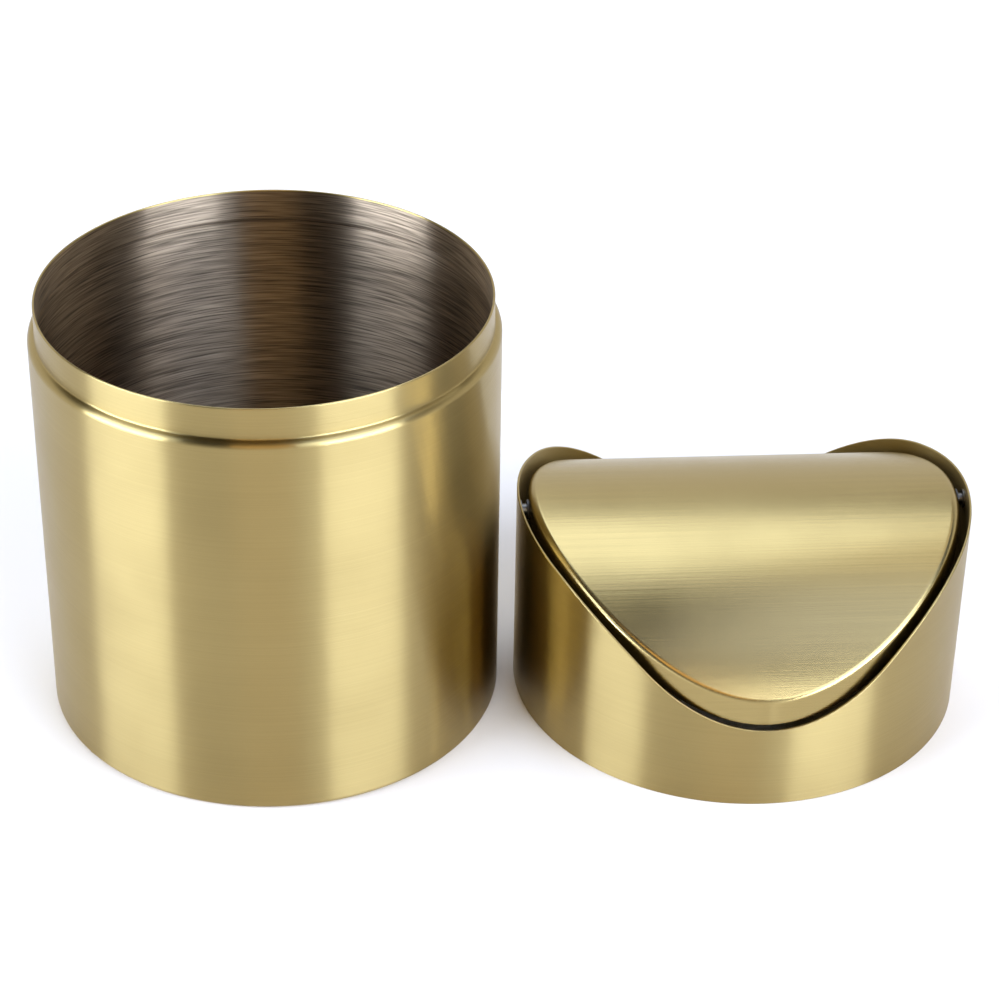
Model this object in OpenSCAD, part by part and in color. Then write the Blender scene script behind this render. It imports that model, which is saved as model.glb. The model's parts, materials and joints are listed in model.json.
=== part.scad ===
// Countertop trash can with a loose swing lid, in millimetres.
// The can stands at the origin, on the plane z = 0, and its lid stands beside it on the same plane.
// The lid is a sheet-metal collar cut to a saddle shape, with a rolled flap that swings inside it.

/* [Can] */
// Outer diameter of the can and of the lid collar
body_d = 120; // [110:1:130]
// Height of the can from the table to the rim
can_h = 117.8; // [90:0.1:160]
// Outer diameter of the neck that the lid slips over
neck_d = 116.2; // [104:0.1:126]
// Height of the neck above the shoulder
neck_h = 8.5; // [6:0.1:12]
// Thickness of the sheet steel, the same in every pressed piece
sheet_t = 0.6; // [0.4:0.1:0.8]
// Outer radius of the rounded foot of the wall
foot_r = 1.5; // [1:0.1:3]
// Width of the ring that the wall turns in under the base
foot_lip = 5; // [3:0.5:8]

/* [Base] */
// Gap between the table and the underside of the base disc
base_gap = 2.4; // [2:0.1:6]
// How far the middle of the base is pressed up
base_rise = 1.2; // [0.6:0.1:3]
// Diameter of the raised middle of the base
base_panel_d = 92; // [60:1:100]
// Width of the sloping ring round the raised middle
base_slope = 3; // [1:0.5:6]

/* [Lid collar] */
// Height of the collar at the two pivots
collar_h = 58; // [52:0.5:64]
// Radius of the arch across the crown
crown_r = 100; // [90:1:120]
// Half the angle that the crown's arc spans
crown_angle = 16.3; // [14:0.1:18]
// Radius of the arch at its two hips
hip_r = 41.5; // [38:0.5:45]
// Steepness of the arch's straight flanks, below the horizontal
flank_angle = 56.9; // [52:0.1:58]

/* [Flap] */
// Radial gap between the flap and the inside of the collar
flap_gap = 2.4; // [2.2:0.1:3]
// Radius that the flap is rolled to, its crown level with the collar's
flap_roll_r = 70; // [68:0.5:74]
// Outer radius of the fold between the flap's face and its flange
fold_r = 2; // [1.2:0.1:2.2]
// Height of the flange that is turned down round the flap
flange_h = 7; // [5:0.1:7.4]
// How far the flap is tipped, its front edge up, in degrees
flap_tip = 2.5; // [-10:0.5:10]

/* [Pivots] */
// Height of the pivot axis above the collar's lower edge
pivot_h = 53.5; // [53:0.1:54]
// Diameter of the pivot pins
pin_d = 3; // [2.5:0.1:3.2]
// Radial clearance of a pin in its bush
pin_play = 0.05; // [0.02:0.01:0.1]

/* [Place of the lid] */
// Distance from the can's axis to the lid's axis
lid_x = 124.5; // [122:0.5:200]
// How far back the lid stands
lid_y = 5.5; // [-20:0.5:20]
// How far the lid is turned on the table, in degrees
lid_turn = 4.5; // [-10:0.5:10]

/* [Hidden] */
$fn = 180;
arc_steps = 10;
fold_steps = 16;
flange_sides = 96;
cut = 1;
gold = "#B89F6A";
inner_steel = "#6E6455";
bright_steel = "#C9C9C6";
black_nylon = "#26231F";

// Can
body_r = body_d / 2;
inside_r = body_r - sheet_t;
neck_r = neck_d / 2;
shoulder_r = body_r - neck_r;
shoulder_z = can_h - neck_h - shoulder_r;

// Base
base_top = base_gap + sheet_t;
panel_r = base_panel_d / 2;
slope_r = panel_r + base_slope;

// Arch of the collar: a crown arc, a tighter arc at each hip and a straight flank, each tangent to the next
crown_z = collar_h - crown_r;
hip_y = (crown_r - hip_r) * sin(crown_angle);
hip_z = crown_z + (crown_r - hip_r) * cos(crown_angle);
flank_reach = body_r + cut;

// Flap
flap_r = inside_r - flap_gap;
flap_inside_r = flap_r - sheet_t;
roll_z = collar_h - flap_roll_r;

// Pivots
pin_r = pin_d / 2;
bush_bore_r = pin_r + pin_play;
bush_r = 2.1;
bush_flange_r = 2.6;
bush_flange_t = 0.5;
bush_seat = 0.1;
weld_r = 2.5;
weld_t = 0.5;
clip_r = 2.8;
clip_t = 0.4;
clip_gap = 0.2;
clip_slots = 3;
clip_slot_w = 0.5;
clip_slot_l = 1.4;
pin_tip = 0.8;
bush_in = flap_inside_r - bush_seat - bush_flange_t;
bush_out = flap_r + bush_flange_t;
clip_out = bush_in - clip_gap;
pin_in = clip_out - clip_t - pin_tip;

// Points of an arc about c, from angle a to angle b
function arc(c, r, a, b) = [
    for (i = [0 : arc_steps])
        let (t = a + (b - a) * i / arc_steps) [c[0] + r * cos(t), c[1] + r * sin(t)]
];
function reversed(points) = [for (i = [len(points) - 1 : -1 : 0]) points[i]];
// One face of the wall from its foot to its neck, shrunk inwards by inset
function wall_face(inset) = concat(
    [[body_r - foot_lip, inset]],
    arc([body_r - foot_r, foot_r], foot_r - inset, -90, 0),
    arc([neck_r, shoulder_z], shoulder_r - inset, 0, 90),
    inset > 0 ? [[neck_r - inset, shoulder_z + shoulder_r - inset]] : []
);

// Rolled and necked wall with a rounded rim, its foot turned in under the base
module can_wall() {
    rim = arc([neck_r - sheet_t / 2, can_h - sheet_t / 2], sheet_t / 2, 0, 180);
    color(gold) rotate_extrude()
        polygon(concat(wall_face(0), rim, reversed(wall_face(sheet_t))));
}

// Pressed disc with a raised middle and a rim turned down against the wall
module can_base() {
    color(inner_steel) rotate_extrude() polygon([
        [0, base_top + base_rise],
        [panel_r, base_top + base_rise],
        [slope_r, base_top],
        [inside_r, base_top],
        [inside_r, foot_r],
        [inside_r - sheet_t, foot_r],
        [inside_r - sheet_t, base_gap],
        [slope_r, base_gap],
        [panel_r, base_gap + base_rise],
        [0, base_gap + base_rise]
    ]);
}

// Right half of the collar's arch, from its crown to the end of the flank
function half_arch() =
    let (
        crown = arc([0, crown_z], crown_r, 90, 90 - crown_angle),
        hip = arc([hip_y, hip_z], hip_r, 90 - crown_angle, 90 - flank_angle),
        foot = hip[arc_steps]
    )
    concat(
        crown,
        [for (i = [1 : arc_steps]) hip[i]],
        [[flank_reach, foot[1] - (flank_reach - foot[0]) * tan(flank_angle)]]
    );

// Solid under the collar's arch, which runs along the pivot axis
module under_arch() {
    right = half_arch();
    left = [for (i = [len(right) - 1 : -1 : 1]) [-right[i][0], right[i][1]]];
    rotate([90, 0, 90])
        linear_extrude(height = 2 * flank_reach, center = true)
            polygon(concat([[-flank_reach, -cut]], left, right, [[flank_reach, -cut]]));
}

// Lid pieces are drawn about the lid's own axis and put beside the can
module on_table() {
    translate([lid_x, lid_y, 0]) rotate([0, 0, lid_turn]) children();
}

// Round bar along the pivot axis, from x = a to x = b on the right side
module pivot_bar(side, r, a, b) {
    translate([side * a, 0, pivot_h]) rotate([0, side * 90, 0]) cylinder(r = r, h = b - a);
}

// Ring with its upper edge cut to the arch
module lid_collar() {
    color(gold) on_table() intersection() {
        difference() {
            cylinder(r = body_r, h = collar_h + cut);
            translate([0, 0, -cut]) cylinder(r = inside_r, h = collar_h + 3 * cut);
        }
        under_arch();
    }
}

// Flap pieces are tipped together about the pivot axis
module tipped() {
    on_table() translate([0, 0, pivot_h]) rotate([-flap_tip, 0, 0]) translate([0, 0, -pivot_h]) children();
}

// Solid under the flap's rolled face, which runs along the pivot axis
module under_roll(r) {
    translate([0, 0, roll_z]) rotate([0, 90, 0]) cylinder(r = r, h = 2 * body_r, center = true);
}

// Rolled face blended into the round flange by the fold, shrunk inwards by inset
module flap_form(inset) {
    minkowski() {
        intersection() {
            cylinder(r = flap_r - fold_r, h = collar_h, $fn = flange_sides);
            under_roll(flap_roll_r - fold_r);
        }
        sphere(r = fold_r - inset, $fn = fold_steps);
    }
}

// Arched flap with a flange of even height turned down all round, bored for the two bushes
module flap_panel() {
    color(gold) tipped() difference() {
        flap_form(0);
        flap_form(sheet_t);
        translate([0, 0, -flange_h]) under_roll(flap_roll_r);
        for (side = [-1, 1]) pivot_bar(side, bush_r, flap_inside_r - cut, flap_r + cut);
    }
}

// Stub pin welded to the inside of the collar
module pivot_pin(side) {
    color(bright_steel) on_table() intersection() {
        union() {
            pivot_bar(side, pin_r, pin_in, body_r);
            pivot_bar(side, weld_r, inside_r - weld_t, body_r);
        }
        cylinder(r = inside_r, h = collar_h);
    }
}

// Bush with a flange on each side of the flap's sheet
module pivot_bush(side) {
    color(black_nylon) tipped() difference() {
        union() {
            pivot_bar(side, bush_r, bush_in, bush_out);
            pivot_bar(side, bush_flange_r, bush_in, bush_in + bush_flange_t);
            pivot_bar(side, bush_flange_r, flap_r, bush_out);
        }
        pivot_bar(side, bush_bore_r, bush_in - cut, bush_out + cut);
    }
}

// Push-on clip that keeps the bush on the pin
module pin_clip(side) {
    color(bright_steel) on_table() difference() {
        pivot_bar(side, clip_r, clip_out - clip_t, clip_out);
        pivot_bar(side, pin_r, clip_out - clip_t - cut, clip_out + cut);
        for (i = [0 : clip_slots - 1])
            translate([side * (clip_out - clip_t / 2), 0, pivot_h])
                rotate([i * 360 / clip_slots, 0, 0])
                    translate([0, 0, pin_r]) cube([clip_t + cut, clip_slot_w, clip_slot_l], center = true);
    }
}

can_wall();
can_base();
lid_collar();
flap_panel();
pivot_pin(-1);  // pivot_pin_left
pivot_pin(1);  // pivot_pin_right
pivot_bush(-1);  // pivot_bush_left
pivot_bush(1);  // pivot_bush_right
pin_clip(-1);  // pin_clip_left
pin_clip(1);  // pin_clip_right
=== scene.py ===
import json
import math
import bpy
from mathutils import Matrix, Vector


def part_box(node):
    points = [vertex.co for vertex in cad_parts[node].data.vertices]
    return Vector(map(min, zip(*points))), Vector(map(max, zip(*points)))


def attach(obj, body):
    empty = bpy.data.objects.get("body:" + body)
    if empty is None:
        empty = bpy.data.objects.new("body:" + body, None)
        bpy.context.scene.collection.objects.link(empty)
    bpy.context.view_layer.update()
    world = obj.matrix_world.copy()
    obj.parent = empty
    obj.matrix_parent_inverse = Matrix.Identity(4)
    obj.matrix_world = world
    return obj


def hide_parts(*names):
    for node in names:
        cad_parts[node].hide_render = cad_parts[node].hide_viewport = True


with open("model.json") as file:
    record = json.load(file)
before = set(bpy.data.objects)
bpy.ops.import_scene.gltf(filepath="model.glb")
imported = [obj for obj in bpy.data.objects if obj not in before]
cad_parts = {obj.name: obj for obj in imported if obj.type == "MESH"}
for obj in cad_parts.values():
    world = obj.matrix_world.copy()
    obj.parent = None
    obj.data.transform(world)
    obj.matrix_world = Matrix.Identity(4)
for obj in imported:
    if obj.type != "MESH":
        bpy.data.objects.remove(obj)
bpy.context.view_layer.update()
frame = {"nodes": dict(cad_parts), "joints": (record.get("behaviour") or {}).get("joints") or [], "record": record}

# Sizes in metres. The frame gives the outer sizes and the places, and these repeat the source's own.
MM = 0.001
SHEET_T = 0.6 * MM
FOOT_R = 1.5 * MM
FOOT_LIP = 5 * MM
NECK_H = 8.5 * MM
CROWN_R = 100 * MM
CROWN_ANGLE = math.radians(16.3)
HIP_R = 41.5 * MM
FLANK_ANGLE = math.radians(56.9)
FLAP_GAP = 2.4 * MM
FLAP_ROLL_R = 70 * MM
FLANGE_H = 7 * MM
FLAP_TIP = math.radians(2.5)
BUSH_R = 2.1 * MM

# Shapes that only the scene has: the groove over the can's shoulder, and a fold wider than the solid's
GROOVE_R = 0.5 * MM
FOLD_R = 2.4 * MM

# Fineness of the meshes. A narrow row of faces beside each bend keeps its shading off the flat sheet.
SIDES = 360
ARC_STEPS = 10
ROOF_RINGS = 40
BORE_SIDES = 64
SUPPORT = 0.12 * MM
ROOF_SUPPORT = 0.998
FLANGE_SUPPORT = 1.03
MERGE = 0.001 * MM
SHARP_ANGLE = math.radians(35)

# Attribute that a turned face carries: its step along the outline
STEP_MARK = "outline_step"

neck = next(m for m in frame["record"]["mounts"] if m["name"] == "neck")
hinge = next(j for j in frame["joints"] if j["name"] == "flap_swing")
body_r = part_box("can_wall")[1].x
can_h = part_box("can_wall")[1].z
neck_r = neck["dims"]["r_mm"] * MM
shoulder_r = body_r - neck_r
shoulder_z = can_h - NECK_H - shoulder_r
collar_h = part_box("lid_collar")[1].z
flap_r = body_r - SHEET_T - FLAP_GAP
roll_z = collar_h - FLAP_ROLL_R
pivot = Vector(hinge["pos_m"])
pivot_axis = Vector(hinge["axis"]).normalized()
lid_turn = math.atan2(pivot_axis.y, pivot_axis.x)
roll_centre = Vector((pivot.x, pivot.y, roll_z))
on_table = Matrix.Translation((pivot.x, pivot.y, 0)) @ Matrix.Rotation(lid_turn, 4, "Z")
tipped = Matrix.Translation(pivot) @ Matrix.Rotation(-FLAP_TIP, 4, pivot_axis) @ Matrix.Translation(-pivot)

# Kinds of node that the trees use most
MATH = "ShaderNodeMath"
WHOLE_MATH = "FunctionNodeIntegerMath"
VECTOR_MATH = "ShaderNodeVectorMath"
JOIN_XYZ = "ShaderNodeCombineXYZ"
SPLIT_XYZ = "ShaderNodeSeparateXYZ"


def srgb(code):
    """Linear colour of an sRGB hex value."""
    parts = [int(code[i:i + 2], 16) / 255 for i in (1, 3, 5)]
    return tuple(p / 12.92 if p <= 0.04045 else ((p + 0.055) / 1.055) ** 2.4 for p in parts) + (1.0,)


def add(tree, kind, inputs=(), **settings):
    """Adds a node. Its inputs come in order or by key, which is a name, or a number where names repeat.
    Each is a value, a socket, or a node for its first output."""
    made = tree.nodes.new(kind)
    for name, value in settings.items():
        setattr(made, name, value)
    for key, value in inputs.items() if isinstance(inputs, dict) else enumerate(inputs):
        source = value.outputs[0] if isinstance(value, bpy.types.Node) else value
        if isinstance(source, bpy.types.NodeSocket):
            tree.links.new(source, made.inputs[key])
        else:
            made.inputs[key].default_value = source
    return made


def linked(name, data):
    """A new object in the scene."""
    made = bpy.data.objects.new(name, data)
    bpy.context.scene.collection.objects.link(made)
    return made


# Materials. Real brush lines are about 0.05 mm apart and too fine to show, so they are drawn 7 to 9 times
# coarser.

# Values that most of a noise texture lies between
NOISE_BAND = {"From Min": 0.3, "From Max": 0.7}
# Slow drift of the gloss, in patches about 22 mm across
PATCHES_PER_M = 45
PATCH_DRIFT = 0.02


def new_material(name):
    """An empty material and its node tree."""
    made = bpy.data.materials.new(name)
    made.use_nodes = True
    made.node_tree.nodes.clear()
    return made, made.node_tree


def brushed_steel(name, colour, roughness, anisotropy, across, strokes_per_m, lines_per_mm, spread, slope,
                  rolled=False):
    """Steel brushed in lines. It is roughest along across, the direction that lies across the lines.
    spread is how far the lines vary the tone, and slope how steep their sides are. A round piece is brushed
    round Z. A rolled piece is brushed along the pivot, its lines spaced along the arc of its roll."""
    made, tree = new_material(name)
    local = add(tree, "ShaderNodeTexCoord").outputs["Object"]
    if rolled:
        straight = add(tree, "ShaderNodeMapping", {"Vector": local, "Location": roll_centre,
                                                   "Rotation": (0, 0, lid_turn)}, vector_type="TEXTURE")
        along = add(tree, SPLIT_XYZ, (straight,)).outputs
        angle = add(tree, MATH, (along["Y"], along["Z"]), operation="ARCTAN2")
        arc_length = add(tree, MATH, (angle, FLAP_ROLL_R), operation="MULTIPLY")
        local = add(tree, JOIN_XYZ, {"X": along["X"], "Z": arc_length})
    density = (strokes_per_m, strokes_per_m, lines_per_mm / MM)
    lines_at = add(tree, VECTOR_MATH, (local, density), operation="MULTIPLY")
    lines = add(tree, "ShaderNodeTexNoise", {"Vector": lines_at, "Scale": 1.0, "Detail": 2.0})
    patches = add(tree, "ShaderNodeTexNoise", {"Vector": local, "Scale": PATCHES_PER_M, "Detail": 2.0})
    tone = add(tree, "ShaderNodeMapRange", {"Value": lines, "To Min": 1 - spread, "To Max": 1 + spread,
                                            **NOISE_BAND})
    tint = add(tree, VECTOR_MATH, {0: srgb(colour)[:3], "Scale": tone}, operation="SCALE")
    rough = add(tree, "ShaderNodeMapRange", {"Value": patches, "To Min": roughness - PATCH_DRIFT,
                                             "To Max": roughness + PATCH_DRIFT, **NOISE_BAND})
    bump = add(tree, "ShaderNodeBump", {"Height": lines, "Strength": 1.0,
                                        "Distance": slope * MM / lines_per_mm})
    tangent = add(tree, JOIN_XYZ, across)
    shader = add(tree, "ShaderNodeBsdfPrincipled", {"Base Color": tint, "Metallic": 1.0, "Roughness": rough,
                                                    "Anisotropic": anisotropy, "Normal": bump,
                                                    "Tangent": tangent})
    add(tree, "ShaderNodeOutputMaterial", (shader,))
    return made


def plain_steel(name, colour, roughness, drift=0.06, grains_per_mm=2.5):
    """Steel with an even grain, drawn about 8 times coarser to show, which varies the gloss by drift."""
    made, tree = new_material(name)
    local = add(tree, "ShaderNodeTexCoord").outputs["Object"]
    grain = add(tree, "ShaderNodeTexNoise", {"Vector": local, "Scale": grains_per_mm / MM, "Detail": 3.0})
    rough = add(tree, "ShaderNodeMapRange", {"Value": grain, "To Min": roughness - drift,
                                             "To Max": roughness + drift})
    bump = add(tree, "ShaderNodeBump", {"Height": grain, "Strength": 0.4, "Distance": 0.01 * MM})
    shader = add(tree, "ShaderNodeBsdfPrincipled", {"Base Color": srgb(colour), "Metallic": 1.0,
                                                    "Roughness": rough, "Normal": bump})
    add(tree, "ShaderNodeOutputMaterial", (shader,))
    return made


def moulded_nylon(grains_per_mm=3):
    """Black nylon as it leaves a spark-eroded mould: a dull black, its grain drawn coarse enough to show."""
    made, tree = new_material("moulded_black_nylon")
    local = add(tree, "ShaderNodeTexCoord").outputs["Object"]
    grain = add(tree, "ShaderNodeTexNoise", {"Vector": local, "Scale": grains_per_mm / MM})
    bump = add(tree, "ShaderNodeBump", {"Height": grain, "Strength": 0.3, "Distance": 0.02 * MM})
    shader = add(tree, "ShaderNodeBsdfPrincipled", {"Base Color": srgb("#26231F"), "Roughness": 0.5,
                                                    "IOR": 1.53, "Normal": bump})
    add(tree, "ShaderNodeOutputMaterial", (shader,))
    return made


# Gold-coated stainless sheet, belt-brushed round the can and the collar. The level lines spread light up
# and down and not sideways, so each lamp stands on the wall as a tall bright band with crisp sides.
gold_round = brushed_steel("gold_coated_steel_brushed_round", "#A38F5D", roughness=0.30, anisotropy=1.0,
                           across=(0, 0, 1), strokes_per_m=12, lines_per_mm=3, spread=0.03, slope=0.10)
# The same sheet uncoated on the can's inside, with the scratches of drawing and cleaning left in: greyer,
# duller, and streaked by short dark and light strokes.
steel_inside = brushed_steel("drawn_steel_inside", "#9A8871", roughness=0.36, anisotropy=1.0,
                             across=(0, 0, 1), strokes_per_m=70, lines_per_mm=2.2, spread=0.55, slope=0.16)
# The coated sheet of the flap, brushed along its pivot before it was rolled. Lamps lie across the roll as
# soft level bands.
gold_along = brushed_steel("gold_coated_steel_brushed_along", "#A38F5D", roughness=0.24, anisotropy=0.8,
                           across=(math.sin(lid_turn), -math.cos(lid_turn), 0), strokes_per_m=12,
                           lines_per_mm=2.6, spread=0.05, slope=0.07, rolled=True)
# Turned stainless of the pins and clips: small grey glints in the gap.
bright_steel = plain_steel("turned_bright_steel", "#6E6B65", roughness=0.4)
# Pressed stainless of the base: a flat, softly shining grey-brown disc.
base_steel = plain_steel("pressed_steel_base", "#8E8474", roughness=0.35)
nylon = moulded_nylon()


# Outlines

def arc(centre, radius, start, end):
    """Points of an arc, its angles in degrees."""
    turns = [math.radians(start + (end - start) * i / ARC_STEPS) for i in range(ARC_STEPS + 1)]
    return [(centre[0] + radius * math.cos(t), centre[1] + radius * math.sin(t)) for t in turns]


def rim(outer_r, top):
    """Rounded edge of the sheet, from its outer face to its inner face, with a straight start and end."""
    half = SHEET_T / 2
    edge = arc((outer_r - half, top - half), half, 0, 180)
    return [(outer_r, top - half - SUPPORT)] + edge + [(outer_r - SHEET_T, top - half - SUPPORT)]


def can_face(inset):
    """One face of the can's wall from its foot to its neck, shrunk inwards by inset. The shoulder's arc and
    the groove's meet where their directions agree."""
    meet = math.degrees(math.acos(GROOVE_R / (shoulder_r + GROOVE_R)))
    groove_z = shoulder_z + math.sqrt((shoulder_r + GROOVE_R) ** 2 - GROOVE_R ** 2)
    foot = [(body_r - FOOT_LIP, inset), (body_r - FOOT_R - SUPPORT, inset)]
    foot += arc((body_r - FOOT_R, FOOT_R), FOOT_R - inset, -90, 0)
    body = [(body_r - inset, FOOT_R + SUPPORT), (body_r - inset, shoulder_z - SUPPORT)]
    shoulder = arc((neck_r, shoulder_z), shoulder_r - inset, 0, meet)
    groove = arc((neck_r + GROOVE_R, groove_z), GROOVE_R + inset, meet + 180, 180)[1:]
    return foot + body + shoulder + groove + [(neck_r - inset, groove_z + SUPPORT)]


def upright(outline):
    """An outline's points in the XZ plane."""
    return [(x, 0, z) for x, z in outline]


def flap_outline():
    """Rings of the flap as flap_tree reads them, down the outer face of the sheet and back up the inner."""
    roof = [(i / ROOF_RINGS, 0) for i in range(ROOF_RINGS)] + [(ROOF_SUPPORT, 0)]
    fold = [(1, i / ARC_STEPS) for i in range(ARC_STEPS + 1)]
    flange = [(1, FLANGE_SUPPORT), (1, 2)]
    face = roof + fold + flange
    return [(reach, bend, 0) for reach, bend in face] + [(reach, bend, 1) for reach, bend in face[::-1]]


# Geometry node trees

def new_tree(name, inputs, outputs):
    """A geometry tree with named inputs and outputs, whose first input takes the object's own mesh."""
    tree = bpy.data.node_groups.new(name, "GeometryNodeTree")
    for label, kind, *value in inputs:
        socket = tree.interface.new_socket(label, in_out="INPUT", socket_type="NodeSocket" + kind)
        if value:
            socket.default_value = value[0]
    for label, kind in outputs:
        tree.interface.new_socket(label, in_out="OUTPUT", socket_type="NodeSocket" + kind)
    return tree, add(tree, "NodeGroupInput").outputs


def circle_tree():
    """How high a circle's edge stands over its centre, at a distance across from it."""
    tree, given = new_tree("circle_height", (("Radius", "Float"), ("Across", "Float")),
                           (("Height", "Float"),))
    radius_sq = add(tree, MATH, (given["Radius"], 2), operation="POWER")
    across_sq = add(tree, MATH, (given["Across"], 2), operation="POWER")
    height_sq = add(tree, MATH, (radius_sq, across_sq), operation="SUBTRACT")
    height = add(tree, MATH, (height_sq,), operation="SQRT")
    add(tree, "NodeGroupOutput", (height,))
    return tree


def rings_tree():
    """A grid with a ring of vertices for each point of an outline. It gives each vertex its outline's point
    and its angle round the axis. A closed outline comes back to its first point."""
    tree, given = new_tree("outline_rings",
                           (("Outline", "Geometry"), ("Sides", "Int", SIDES), ("Closed", "Int", 0)),
                           (("Grid", "Geometry"), ("Point", "Vector"), ("Angle", "Float")))
    points = add(tree, "GeometryNodeAttributeDomainSize", (given["Outline"],), component="MESH")
    columns = add(tree, WHOLE_MATH, (points, given["Closed"]), operation="ADD")
    rows = add(tree, WHOLE_MATH, (given["Sides"], 1), operation="ADD")
    grid = add(tree, "GeometryNodeMeshGrid", {"Vertices X": columns, "Vertices Y": rows})
    index = add(tree, "GeometryNodeInputIndex")
    column = add(tree, WHOLE_MATH, (index, rows), operation="DIVIDE_FLOOR")
    row = add(tree, WHOLE_MATH, (index, rows), operation="MODULO")
    step = add(tree, WHOLE_MATH, (column, points), operation="MODULO")
    place = add(tree, "GeometryNodeInputPosition")
    point = add(tree, "GeometryNodeSampleIndex", {"Geometry": given["Outline"], "Value": place,
                                                  "Index": step}, data_type="FLOAT_VECTOR")
    share = add(tree, MATH, (row, given["Sides"]), operation="DIVIDE")
    angle = add(tree, MATH, (share, math.tau), operation="MULTIPLY")
    add(tree, "NodeGroupOutput", (grid, point, angle))
    return tree


def turned_tree():
    """Turns a closed outline round Z, and marks each face with its step along the outline."""
    tree, given = new_tree("turned_outline", (("Outline", "Geometry"), ("Sides", "Int", SIDES)),
                           (("Wall", "Geometry"),))
    rings = add(tree, "GeometryNodeGroup", (given["Outline"], given["Sides"], 1),
                node_tree=rings_of_outline).outputs
    turned = add(tree, "ShaderNodeVectorRotate", {"Vector": rings["Point"], "Angle": rings["Angle"]},
                 rotation_type="Z_AXIS")
    placed = add(tree, "GeometryNodeSetPosition", {"Geometry": rings["Grid"], "Position": turned})
    index = add(tree, "GeometryNodeInputIndex")
    step = add(tree, WHOLE_MATH, (index, given["Sides"]), operation="DIVIDE_FLOOR")
    marked = add(tree, "GeometryNodeStoreNamedAttribute", {"Geometry": placed, "Name": STEP_MARK,
                                                           "Value": step}, data_type="INT", domain="FACE")
    closed = add(tree, "GeometryNodeMergeByDistance", {"Geometry": marked, "Distance": MERGE})
    outward = add(tree, "GeometryNodeFlipFaces", (closed,))
    add(tree, "NodeGroupOutput", (outward,))
    return tree


def in_metal(tree, geometry, metal):
    """The last two nodes of a piece: plain faces, all of one metal."""
    real = add(tree, "GeometryNodeRealizeInstances", (geometry,))
    return add(tree, "GeometryNodeSetMaterial", {"Geometry": real, "Material": metal})


def can_tree():
    """Turns the can's outline, coated on the steps of its outer face and bare on the rest."""
    tree, given = new_tree("turned_can", (("Outline", "Geometry"), ("Outside steps", "Int")),
                           (("Wall", "Geometry"),))
    wall = add(tree, "GeometryNodeGroup", (given["Outline"],), node_tree=turned_outline)
    coated = in_metal(tree, wall, gold_round)
    step = add(tree, "GeometryNodeInputNamedAttribute", {"Name": STEP_MARK}, data_type="INT")
    inside = add(tree, "FunctionNodeCompare", {2: step, 3: given["Outside steps"]}, data_type="INT",
                 operation="GREATER_EQUAL")
    both = add(tree, "GeometryNodeSetMaterial", {"Geometry": coated, "Selection": inside,
                                                 "Material": steel_inside})
    add(tree, "NodeGroupOutput", (both,))
    return tree


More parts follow.
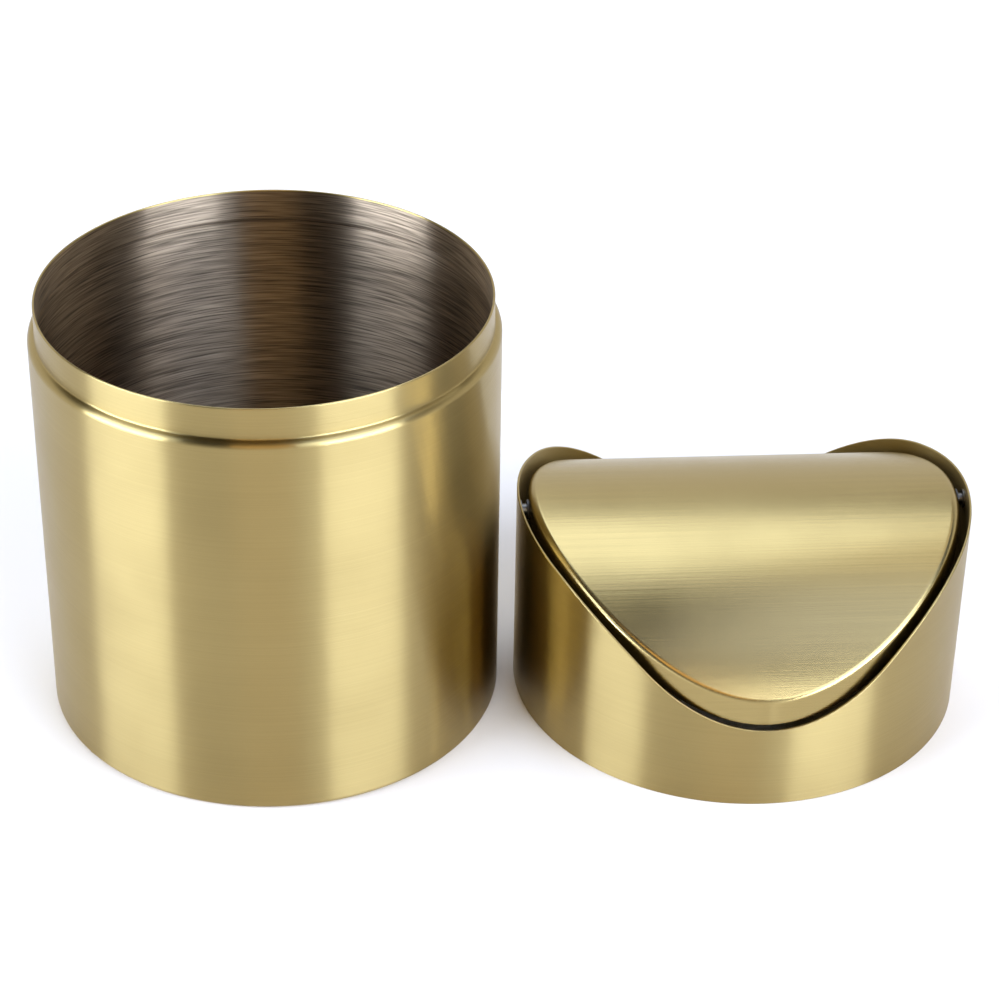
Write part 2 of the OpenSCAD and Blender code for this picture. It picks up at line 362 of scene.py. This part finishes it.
def collar_tree():
    """Turns the collar's outline and lowers its upper half to the saddle: an arc across the crown, a tighter
    arc at each hip and a straight flank, each tangent to the next."""
    tree, given = new_tree("saddle_collar",
                           (("Outline", "Geometry"), ("Radius", "Float", body_r),
                            ("Height", "Float", collar_h), ("Crown radius", "Float", CROWN_R),
                            ("Crown angle", "Float", CROWN_ANGLE), ("Hip radius", "Float", HIP_R),
                            ("Flank angle", "Float", FLANK_ANGLE)),
                           (("Collar", "Geometry"),))
    height = given["Height"]
    crown_r = given["Crown radius"]
    hip_r = given["Hip radius"]
    wall = add(tree, "GeometryNodeGroup", (given["Outline"],), node_tree=turned_outline)
    # How far each vertex lies in front of the pivots' line or behind it
    place = add(tree, "GeometryNodeInputPosition")
    at = add(tree, SPLIT_XYZ, (place,)).outputs
    round_z = add(tree, MATH, (at["Y"], at["X"]), operation="ARCTAN2")
    sine = add(tree, MATH, (round_z,), operation="SINE")
    sideways = add(tree, MATH, (sine, given["Radius"]), operation="MULTIPLY")
    across = add(tree, MATH, (sideways,), operation="ABSOLUTE")
    # The arcs' centres, and where the stretches meet
    crown_sine = add(tree, MATH, (given["Crown angle"],), operation="SINE")
    crown_cosine = add(tree, MATH, (given["Crown angle"],), operation="COSINE")
    flank_sine = add(tree, MATH, (given["Flank angle"],), operation="SINE")
    flank_cosine = add(tree, MATH, (given["Flank angle"],), operation="COSINE")
    flank_slope = add(tree, MATH, (given["Flank angle"],), operation="TANGENT")
    tighter = add(tree, MATH, (crown_r, hip_r), operation="SUBTRACT")
    crown_z = add(tree, MATH, (height, crown_r), operation="SUBTRACT")
    crown_end = add(tree, MATH, (crown_r, crown_sine), operation="MULTIPLY")
    hip_y = add(tree, MATH, (tighter, crown_sine), operation="MULTIPLY")
    hip_z = add(tree, MATH, (tighter, crown_cosine, crown_z), operation="MULTIPLY_ADD")
    hip_end = add(tree, MATH, (hip_r, flank_sine, hip_y), operation="MULTIPLY_ADD")
    hip_foot = add(tree, MATH, (hip_r, flank_cosine, hip_z), operation="MULTIPLY_ADD")
    # The saddle's height on each stretch
    crown_rise = add(tree, "GeometryNodeGroup", (crown_r, across), node_tree=circle_height)
    crown_top = add(tree, MATH, (crown_z, crown_rise), operation="ADD")
    past_hip = add(tree, MATH, (across, hip_y), operation="SUBTRACT")
    hip_rise = add(tree, "GeometryNodeGroup", (hip_r, past_hip), node_tree=circle_height)
    hip_top = add(tree, MATH, (hip_z, hip_rise), operation="ADD")
    past_end = add(tree, MATH, (across, hip_end), operation="SUBTRACT")
    drop = add(tree, MATH, (past_end, flank_slope), operation="MULTIPLY")
    flank_top = add(tree, MATH, (hip_foot, drop), operation="SUBTRACT")
    past_crown = add(tree, MATH, (across, crown_end), operation="GREATER_THAN")
    on_flank = add(tree, MATH, (across, hip_end), operation="GREATER_THAN")
    arc_top = add(tree, "GeometryNodeSwitch", (past_crown, crown_top, hip_top), input_type="FLOAT")
    top = add(tree, "GeometryNodeSwitch", (on_flank, arc_top, flank_top), input_type="FLOAT")
    half_height = add(tree, MATH, (height, 0.5), operation="MULTIPLY")
    upper = add(tree, MATH, (at["Z"], half_height), operation="GREATER_THAN")
    sink = add(tree, MATH, (top, height), operation="SUBTRACT")
    offset = add(tree, JOIN_XYZ, {"Z": sink})
    cut = add(tree, "GeometryNodeSetPosition", {"Geometry": wall, "Selection": upper, "Offset": offset})
    add(tree, "NodeGroupOutput", (in_metal(tree, cut, gold_round),))
    return tree


def flap_tree():
    """Bends rings into the flap: a roof rolled about the pivot, a fold of even radius all round, a flange of
    even height and two bores for the bushes. A ring's point gives in x its share of the roof's reach. In y
    it gives 0 on the roof, up to 1 round the fold and up to 2 down the flange. In z it gives 0 on the outer
    face of the sheet and 1 on the inner."""
    tree, given = new_tree("rolled_flap",
                           (("Outline", "Geometry"), ("Radius", "Float", flap_r),
                            ("Roll radius", "Float", FLAP_ROLL_R), ("Roll centre", "Float", roll_z),
                            ("Fold radius", "Float", FOLD_R), ("Flange height", "Float", FLANGE_H),
                            ("Thickness", "Float", SHEET_T), ("Bush radius", "Float", BUSH_R),
                            ("Pivot height", "Float", pivot.z)),
                           (("Flap", "Geometry"),))
    roll_r = given["Roll radius"]
    rings = add(tree, "GeometryNodeGroup", (given["Outline"],), node_tree=rings_of_outline).outputs
    ring = add(tree, SPLIT_XYZ, (rings["Point"],)).outputs
    cosine = add(tree, MATH, (rings["Angle"],), operation="COSINE")
    sine = add(tree, MATH, (rings["Angle"],), operation="SINE")
    inset = add(tree, MATH, (ring["Z"], given["Thickness"]), operation="MULTIPLY")
    # The fold's centre line, as far inside the flange as it is under the roof
    centre_r = add(tree, MATH, (given["Radius"], given["Fold radius"]), operation="SUBTRACT")
    centre_x = add(tree, MATH, (cosine, centre_r), operation="MULTIPLY")
    centre_y = add(tree, MATH, (sine, centre_r), operation="MULTIPLY")
    inner_roll_r = add(tree, MATH, (roll_r, given["Fold radius"]), operation="SUBTRACT")
    rise = add(tree, "GeometryNodeGroup", (inner_roll_r, centre_y), node_tree=circle_height)
    centre_z = add(tree, MATH, (given["Roll centre"], rise), operation="ADD")
    centre = add(tree, JOIN_XYZ, (centre_x, centre_y, centre_z))
    # The fold turns from the roof's own direction to the flange's. A mix takes its two vectors as inputs 4
    # and 5, and gives the mixed one as output 1.
    off_axis = add(tree, JOIN_XYZ, {"Y": centre_y, "Z": rise})
    upward = add(tree, VECTOR_MATH, (off_axis,), operation="NORMALIZE")
    outward = add(tree, JOIN_XYZ, (cosine, sine))
    turn = add(tree, "ShaderNodeClamp", (ring["Y"],))
    facing = add(tree, "ShaderNodeMix", {0: turn, 4: upward, 5: outward}, data_type="VECTOR")
    normal = add(tree, VECTOR_MATH, (facing.outputs[1],), operation="NORMALIZE")
    reach = add(tree, MATH, (given["Fold radius"], inset), operation="SUBTRACT")
    bend = add(tree, VECTOR_MATH, {0: normal, "Scale": reach}, operation="SCALE")
    edge = add(tree, VECTOR_MATH, (centre, bend), operation="ADD")
    edge_at = add(tree, SPLIT_XYZ, (edge,)).outputs
    # The roof lies inside the fold's upper edge, on the roll
    x = add(tree, MATH, (edge_at["X"], ring["X"]), operation="MULTIPLY")
    y = add(tree, MATH, (edge_at["Y"], ring["X"]), operation="MULTIPLY")
    face_r = add(tree, MATH, (roll_r, inset), operation="SUBTRACT")
    roof_rise = add(tree, "GeometryNodeGroup", (face_r, y), node_tree=circle_height)
    roof_z = add(tree, MATH, (given["Roll centre"], roof_rise), operation="ADD")
    # The flange goes straight down from the fold to a hem that follows the roof
    outer_y = add(tree, MATH, (sine, given["Radius"]), operation="MULTIPLY")
    outer_rise = add(tree, "GeometryNodeGroup", (roll_r, outer_y), node_tree=circle_height)
    brim_z = add(tree, MATH, (given["Roll centre"], outer_rise), operation="ADD")
    hem_z = add(tree, MATH, (brim_z, given["Flange height"]), operation="SUBTRACT")
    past_fold = add(tree, MATH, (ring["Y"], 1), operation="SUBTRACT")
    down = add(tree, MATH, (past_fold, 0), operation="MAXIMUM")
    drop = add(tree, MATH, (hem_z, edge_at["Z"]), operation="SUBTRACT")
    flange_z = add(tree, MATH, (drop, down, edge_at["Z"]), operation="MULTIPLY_ADD")
    on_fold = add(tree, MATH, (ring["Y"], 0), operation="GREATER_THAN")
    z = add(tree, "GeometryNodeSwitch", (on_fold, roof_z, flange_z), input_type="FLOAT")
    spot = add(tree, JOIN_XYZ, (x, y, z))
    placed = add(tree, "GeometryNodeSetPosition", {"Geometry": rings["Grid"], "Position": spot})
    closed = add(tree, "GeometryNodeMergeByDistance", {"Geometry": placed, "Distance": MERGE})
    # One bar, longer than the flap is wide, bores both sides. Edges that the cut leaves without a face go.
    length = add(tree, MATH, (given["Radius"], 3), operation="MULTIPLY")
    bar = add(tree, "GeometryNodeMeshCylinder", {"Vertices": BORE_SIDES, "Radius": given["Bush radius"],
                                                 "Depth": length})
    bar_at = add(tree, JOIN_XYZ, {"Z": given["Pivot height"]})
    level_bar = add(tree, "GeometryNodeTransform", {"Geometry": bar, "Translation": bar_at,
                                                    "Rotation": (0, math.pi / 2, 0)})
    bored = add(tree, "GeometryNodeMeshBoolean", {"Mesh 1": closed, "Mesh 2": level_bar},
                operation="DIFFERENCE")
    edge_faces = add(tree, "GeometryNodeInputMeshEdgeNeighbors")
    stray = add(tree, "FunctionNodeCompare", {2: edge_faces, 3: 0}, data_type="INT", operation="EQUAL")
    clean = add(tree, "GeometryNodeDeleteGeometry", {"Geometry": bored, "Selection": stray}, domain="EDGE")
    add(tree, "NodeGroupOutput", (in_metal(tree, clean, gold_along),))
    return tree


circle_height = circle_tree()
rings_of_outline = rings_tree()
turned_outline = turned_tree()


# Pieces

def made_by(tree, outline, name, place, sizes={}):
    """Runs a tree on an outline's points, and returns its result in its place as a plain mesh object. sizes
    gives values to the tree's inputs by name."""
    points = bpy.data.meshes.new("outline")
    points.from_pydata(outline, [], [])
    source = linked("outline", points)
    modifier = source.modifiers.new("shape", "NODES")
    modifier.node_group = tree
    for item in tree.interface.items_tree:
        if item.name in sizes:
            modifier[item.identifier] = sizes[item.name]
    evaluated = source.evaluated_get(bpy.context.evaluated_depsgraph_get())
    mesh = bpy.data.meshes.new_from_object(evaluated)
    bpy.data.objects.remove(source)
    mesh.name = name
    # The outline's own empty slot, and the marks that the tree is done with
    mesh.materials.pop(index=0)
    for mark in [a for a in mesh.attributes if a.name == STEP_MARK]:
        mesh.attributes.remove(mark)
    mesh.transform(place)
    mesh.shade_smooth()
    mesh.set_sharp_from_angle(angle=SHARP_ANGLE)
    return linked(name, mesh)


def can_wall():
    """Rolled and necked wall with a rounded rim, its foot turned in."""
    outside = can_face(0) + rim(neck_r, can_h)
    inside = can_face(SHEET_T)[::-1]
    piece = made_by(can_tree(), upright(outside + inside), "can_wall_brushed", Matrix.Identity(4),
                    {"Outside steps": len(outside) - 1})
    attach(piece, "can")
    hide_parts("can_wall")


def lid_collar():
    """Ring with a rounded upper edge, cut to the saddle."""
    outline = [(body_r, 0)] + rim(body_r, collar_h) + [(body_r - SHEET_T, 0)]
    piece = made_by(collar_tree(), upright(outline), "lid_collar_brushed", on_table)
    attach(piece, "lid")
    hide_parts("lid_collar")


def flap_panel():
    """Rolled flap with its fold and flange, tipped on its pivot."""
    piece = made_by(flap_tree(), flap_outline(), "flap_panel_brushed", tipped @ on_table)
    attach(piece, "flap")
    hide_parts("flap_panel")


def dress(nodes, material):
    """Gives CAD nodes a material in place of their own."""
    for node in nodes:
        slots = frame["nodes"][node].data.materials
        slots.clear()
        slots.append(material)


can_wall()
lid_collar()
flap_panel()
dress(("can_base",), base_steel)
dress(("pivot_pin_left", "pivot_pin_right", "pin_clip_left", "pin_clip_right"), bright_steel)
dress(("pivot_bush_left", "pivot_bush_right"), nylon)


# Studio. Its middle is between the can and the lid.
MIDDLE = Vector((0.06, 0, 0))
FLOOR_R = 1.05
FLOOR_SIDES = 96
# The floor lies just under the can's foot, and its paper fades out before the floor's edge
FLOOR_DROP = Vector((0, 0, -0.1 * MM))
FADE_START = 0.5
FADE_END = 1.0
# The world is white up to one height over a slanting plane, and dark from another
SLANT = (0, -0.3, 1)
WHITE_BELOW = 0.3
DARK_ABOVE = 0.5
DARK_LEVEL = 0.04
# Lamps on stands face a point a little over the middle, and lamps overhead face down
AIM = MIDDLE + Vector((0, 0, 0.05))
STAND_DISTANCE = 1.8
OVERHEAD_Z = 1.05
COOL = (0.67, 0.78, 1.0)
BLUE = (0.56, 0.66, 1.0)
WHITE = (1, 1, 1)
AMBER = (1.0, 0.70, 0.36)
# Name, azimuth and elevation in degrees, width, height, radiance, colour
STANDS = (("strip_left", -63.5, 8, 1.30, 0.38, 28, COOL),
          ("strip_right", 45, 8, 1.22, 0.38, 27, COOL),
          ("softbox_left", -64, 32, 1.18, 0.72, 8.6, COOL),
          ("softbox_right", 43, 32, 1.50, 0.72, 8.2, COOL),
          ("warm_card", 0, 33, 0.80, 0.80, 2.0, AMBER))
# Name, x, y, turn in degrees, width, depth, radiance, colour
OVERHEADS = (("softbox_top", -0.017, 0.58, -23.5, 0.80, 0.80, 4.4, COOL),
             ("scrim_back", 0.603, 0.378, -23.5, 0.50, 0.78, 1.2, WHITE),
             ("scrim_right", 0.68, -0.33, 0, 0.80, 0.72, 2.3, BLUE))


def paper():
    """Pale matt paper, which takes the soft shadow and fades into the white sweep."""
    made, tree = new_material("pale_paper_floor")
    local = add(tree, "ShaderNodeTexCoord").outputs["Object"]
    away = add(tree, VECTOR_MATH, (local,), operation="LENGTH").outputs["Value"]
    fade = add(tree, "ShaderNodeMapRange", {"Value": away, "From Min": FADE_START, "From Max": FADE_END},
               interpolation_type="SMOOTHSTEP")
    sheet = add(tree, "ShaderNodeBsdfDiffuse", {"Color": srgb("#EDE6DC")})
    clear = add(tree, "ShaderNodeBsdfTransparent")
    both = add(tree, "ShaderNodeMixShader", (fade, sheet, clear))
    add(tree, "ShaderNodeOutputMaterial", (both,))
    return made


def floor():
    """A round floor under both parts."""
    turns = [math.tau * i / FLOOR_SIDES for i in range(FLOOR_SIDES)]
    mesh = bpy.data.meshes.new("floor")
    mesh.from_pydata([(FLOOR_R * math.cos(t), FLOOR_R * math.sin(t), 0) for t in turns], [],
                     [range(FLOOR_SIDES)])
    mesh.materials.append(paper())
    made = linked("floor", mesh)
    made.location = MIDDLE + FLOOR_DROP


def white_room():
    """A white sweep below and behind the object, and a dark room above and in front of it."""
    world = bpy.data.worlds.new("white_room")
    bpy.context.scene.world = world
    world.use_nodes = True
    tree = world.node_tree
    tree.nodes.clear()
    direction = add(tree, "ShaderNodeTexCoord").outputs["Generated"]
    height = add(tree, VECTOR_MATH, (direction, SLANT), operation="DOT_PRODUCT").outputs["Value"]
    level = add(tree, "ShaderNodeMapRange", {"Value": height, "From Min": WHITE_BELOW,
                                             "From Max": DARK_ABOVE, "To Min": 1.0, "To Max": DARK_LEVEL},
                interpolation_type="SMOOTHSTEP")
    sky = add(tree, "ShaderNodeBackground", {"Color": (1, 1, 1, 1), "Strength": level})
    add(tree, "ShaderNodeOutputWorld", (sky,))


def lamp(name, place, width, depth, radiance, colour):
    """A rectangular lamp that the camera doesn't see, in the place and direction of a matrix."""
    light = bpy.data.lights.new(name, "AREA")
    light.shape = "RECTANGLE"
    light.size = width
    light.size_y = depth
    light.color = colour
    light.energy = radiance * math.pi * width * depth
    made = linked(name, light)
    made.matrix_world = place
    made.visible_camera = False


def lamps():
    """Puts up the stands and the lamps overhead. Azimuth is measured from the viewer's side towards +X."""
    for name, azimuth, elevation, *rest in STANDS:
        turn = Matrix.Rotation(math.radians(azimuth), 3, "Z")
        lift = Matrix.Rotation(-math.radians(elevation), 3, "X")
        back = turn @ lift @ Vector((0, -1, 0))
        facing = back.to_track_quat("Z", "Y").to_matrix().to_4x4()
        lamp(name, Matrix.Translation(AIM + back * STAND_DISTANCE) @ facing, *rest)
    for name, x, y, turn, *rest in OVERHEADS:
        facing = Matrix.Rotation(math.radians(turn), 4, "Z")
        lamp(name, Matrix.Translation((x, y, OVERHEAD_Z)) @ facing, *rest)


# The photograph's camera, fitted to the outlines of the can and the lid. Angles in degrees.
CAMERA_AT = (0.0601, -0.6318, 0.4586)
CAMERA_DOWN = 32.45
CAMERA_ROLL = 0.98
LENS = 102.4
SENSOR = 36


def camera():
    """The camera of the photograph, a hair rolled."""
    view = bpy.data.cameras.new("camera")
    view.sensor_width = SENSOR
    view.lens = LENS
    view.clip_start = 10 * MM
    made = linked("camera", view)
    made.matrix_world = (Matrix.Translation(CAMERA_AT)
                         @ Matrix.Rotation(math.radians(90 - CAMERA_DOWN), 4, "X")
                         @ Matrix.Rotation(math.radians(CAMERA_ROLL), 4, "Z"))
    bpy.context.scene.camera = made


floor()
white_room()
lamps()
camera()
bpy.context.scene.view_settings.view_transform = "Standard"
